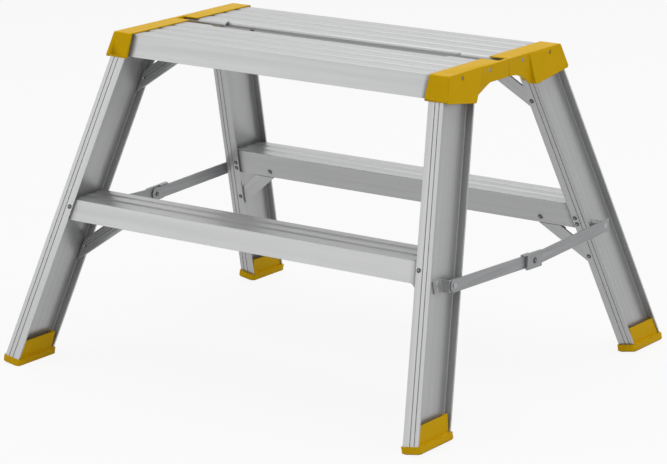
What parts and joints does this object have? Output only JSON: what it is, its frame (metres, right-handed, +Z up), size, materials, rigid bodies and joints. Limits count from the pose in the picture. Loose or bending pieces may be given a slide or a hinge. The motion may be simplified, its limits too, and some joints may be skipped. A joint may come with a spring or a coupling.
{
  "type": "builders trestle",
  "caption": "Folding step-up trestle: hinged splayed halves with a grooved platform, lower steps, corner braces, over-centre stays, moulded end caps and feet.",
  "frame": {"origin": "on the ground, below the middle of the platform", "axes": "X along the platform, Y across it with the front half at -Y, Z up"},
  "size_m": [0.7802, 0.684, 0.5],
  "materials": {
    "aluminium": "satin extruded aluminium with fine lengthwise grain",
    "yellow_plastic": "moulded plastic with a fine texture",
    "plated_steel": "zinc plated steel",
    "dark_rivet": "dull grey steel rivets"
  },
  "bodies": {
    "front_half": {"front_left_stile": "aluminium", "front_right_stile": "aluminium", "front_top_tread": "aluminium", "front_lower_tread": "aluminium", "front_left_cap": "yellow_plastic", "front_right_cap": "yellow_plastic", "front_left_foot": "yellow_plastic", "front_right_foot": "yellow_plastic", "front_upper_left_brace": "aluminium", "front_upper_right_brace": "aluminium", "front_lower_left_brace": "aluminium", "front_lower_right_brace": "aluminium", "front_right_stay_bracket": "plated_steel", "front_left_stay_post": "plated_steel", "front_hinge_pin": "plated_steel", "front_tread_rivets": "dark_rivet", "front_brace_rivets": "dark_rivet", "front_cap_screws": "plated_steel", "front_bracket_rivets": "plated_steel", "front_stay_pivots": "plated_steel"},
    "rear_half": {"rear_left_stile": "aluminium", "rear_right_stile": "aluminium", "rear_top_tread": "aluminium", "rear_lower_tread": "aluminium", "rear_left_cap": "yellow_plastic", "rear_right_cap": "yellow_plastic", "rear_left_foot": "yellow_plastic", "rear_right_foot": "yellow_plastic", "rear_upper_left_brace": "aluminium", "rear_upper_right_brace": "aluminium", "rear_lower_left_brace": "aluminium", "rear_lower_right_brace": "aluminium", "rear_left_stay_bracket": "plated_steel", "rear_right_stay_post": "plated_steel", "rear_hinge_pin": "plated_steel", "rear_tread_rivets": "dark_rivet", "rear_brace_rivets": "dark_rivet", "rear_cap_screws": "plated_steel", "rear_bracket_rivets": "plated_steel", "rear_stay_pivots": "plated_steel"},
    "front_left_stay": {"front_left_stay_link": "plated_steel", "left_stay_mid_rivet": "dark_rivet"},
    "front_right_stay": {"front_right_stay_link": "plated_steel", "right_stay_mid_tail": "dark_rivet"},
    "rear_left_stay": {"rear_left_stay_link": "plated_steel", "left_stay_mid_tail": "dark_rivet"},
    "rear_right_stay": {"rear_right_stay_link": "plated_steel", "right_stay_mid_rivet": "dark_rivet"}
  },
  "joints": [
    {"name": "fold", "type": "hinge", "parent": "front_half", "child": "rear_half", "pos_m": [0, 0, 0.4795], "axis": [-1, 0, 0], "range_deg": [0, 55]},
    {"name": "front_left_stay_turn", "type": "hinge", "parent": "front_half", "child": "front_left_stay", "pos_m": [-0.35987, -0.20648, 0.213], "axis": [1, 0, 0], "range_deg": [0, 48]},
    {"name": "front_right_stay_turn", "type": "hinge", "parent": "front_half", "child": "front_right_stay", "pos_m": [0.35697, -0.20648, 0.213], "axis": [1, 0, 0], "range_deg": [0, 48]},
    {"name": "rear_left_stay_turn", "type": "hinge", "parent": "rear_half", "child": "rear_left_stay", "pos_m": [-0.35697, 0.20648, 0.213], "axis": [-1, 0, 0], "range_deg": [0, 48]},
    {"name": "rear_right_stay_turn", "type": "hinge", "parent": "rear_half", "child": "rear_right_stay", "pos_m": [0.35987, 0.20648, 0.213], "axis": [-1, 0, 0], "range_deg": [0, 48]}
  ],
  "couplings": [
    {"joint": "front_left_stay_turn", "follows": "fold", "ratio": 0.8693},
    {"joint": "front_right_stay_turn", "follows": "fold", "ratio": 0.8693},
    {"joint": "rear_left_stay_turn", "follows": "fold", "ratio": 0.8693},
    {"joint": "rear_right_stay_turn", "follows": "fold", "ratio": 0.8693}
  ]
}
